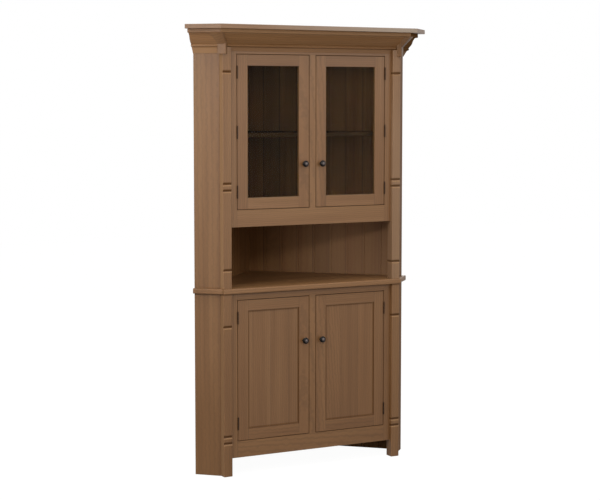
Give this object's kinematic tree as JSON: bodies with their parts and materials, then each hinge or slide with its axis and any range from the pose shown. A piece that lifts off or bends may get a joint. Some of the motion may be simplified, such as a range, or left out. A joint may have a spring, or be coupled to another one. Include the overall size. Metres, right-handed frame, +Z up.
{
  "type": "corner cupboard",
  "caption": "Tall two-part corner cupboard: panelled base doors under a counter, an open niche, glazed upper doors, notched corner posts and a moulded cornice.",
  "frame": {"origin": "middle of the overall footprint, on the floor", "axes": "+Z up; the doors face -Y; the corner of the room is at +Y; +X is to the right as seen from the front"},
  "size_m": [1.3182, 0.7838, 2.134],
  "materials": {
    "case_wood": "stained mid brown, satin lacquer",
    "door_wood": "stained mid brown, satin lacquer",
    "inside_wood": "stained mid brown, satin lacquer",
    "pane_glass": "clear, polished",
    "knob_metal": "dark bronze, satin",
    "hinge_metal": "dark bronze, satin",
    "catch_plastic": "matt dark brown"
  },
  "bodies": {
    "carcase": {"lower_post_left": "case_wood", "lower_post_right": "case_wood", "upper_post_left": "case_wood", "upper_post_right": "case_wood", "lower_side_left": "case_wood", "lower_side_right": "case_wood", "upper_side_left": "case_wood", "upper_side_right": "case_wood", "lower_back_left": "inside_wood", "lower_back_right": "inside_wood", "upper_back_left": "inside_wood", "upper_back_right": "inside_wood", "crown_left": "case_wood", "crown_right": "case_wood", "crown_front": "case_wood", "corner_block_left": "case_wood", "corner_block_right": "case_wood", "bottom_board": "inside_wood", "lower_shelf": "inside_wood", "counter_top": "case_wood", "upper_deck": "inside_wood", "upper_shelf": "inside_wood", "top_cap": "case_wood", "lower_face_frame": "case_wood", "upper_face_frame": "case_wood", "lower_catch": "catch_plastic", "upper_catch": "catch_plastic", "lower_door_left_hinge_low_fixed": "hinge_metal", "lower_door_left_hinge_top_fixed": "hinge_metal", "lower_door_right_hinge_low_fixed": "hinge_metal", "lower_door_right_hinge_top_fixed": "hinge_metal", "upper_door_left_hinge_low_fixed": "hinge_metal", "upper_door_left_hinge_mid_fixed": "hinge_metal", "upper_door_left_hinge_top_fixed": "hinge_metal", "upper_door_right_hinge_low_fixed": "hinge_metal", "upper_door_right_hinge_mid_fixed": "hinge_metal", "upper_door_right_hinge_top_fixed": "hinge_metal"},
    "lower_door_left": {"lower_door_left_frame": "door_wood", "lower_door_left_panel": "door_wood", "lower_door_left_knob": "knob_metal", "lower_door_left_hinge_low_leaf": "hinge_metal", "lower_door_left_hinge_top_leaf": "hinge_metal"},
    "lower_door_right": {"lower_door_right_frame": "door_wood", "lower_door_right_panel": "door_wood", "lower_door_right_knob": "knob_metal", "lower_door_right_hinge_low_leaf": "hinge_metal", "lower_door_right_hinge_top_leaf": "hinge_metal"},
    "upper_door_left": {"upper_door_left_frame": "door_wood", "upper_door_left_glass": "pane_glass", "upper_door_left_knob": "knob_metal", "upper_door_left_hinge_low_leaf": "hinge_metal", "upper_door_left_hinge_mid_leaf": "hinge_metal", "upper_door_left_hinge_top_leaf": "hinge_metal"},
    "upper_door_right": {"upper_door_right_frame": "door_wood", "upper_door_right_glass": "pane_glass", "upper_door_right_knob": "knob_metal", "upper_door_right_hinge_low_leaf": "hinge_metal", "upper_door_right_hinge_mid_leaf": "hinge_metal", "upper_door_right_hinge_top_leaf": "hinge_metal"}
  },
  "joints": [
    {"name": "lower_left_door_hinge", "type": "hinge", "parent": "carcase", "child": "lower_door_left", "pos_m": [-0.406, -0.30002, 0.5015], "axis": [0, 0, -1], "range_deg": [0, 150]},
    {"name": "lower_right_door_hinge", "type": "hinge", "parent": "carcase", "child": "lower_door_right", "pos_m": [0.406, -0.30002, 0.5015], "axis": [0, 0, 1], "range_deg": [0, 150]},
    {"name": "upper_left_door_hinge", "type": "hinge", "parent": "carcase", "child": "upper_door_left", "pos_m": [-0.406, -0.30002, 1.634], "axis": [0, 0, -1], "range_deg": [0, 150]},
    {"name": "upper_right_door_hinge", "type": "hinge", "parent": "carcase", "child": "upper_door_right", "pos_m": [0.406, -0.30002, 1.634], "axis": [0, 0, 1], "range_deg": [0, 150]}
  ]
}
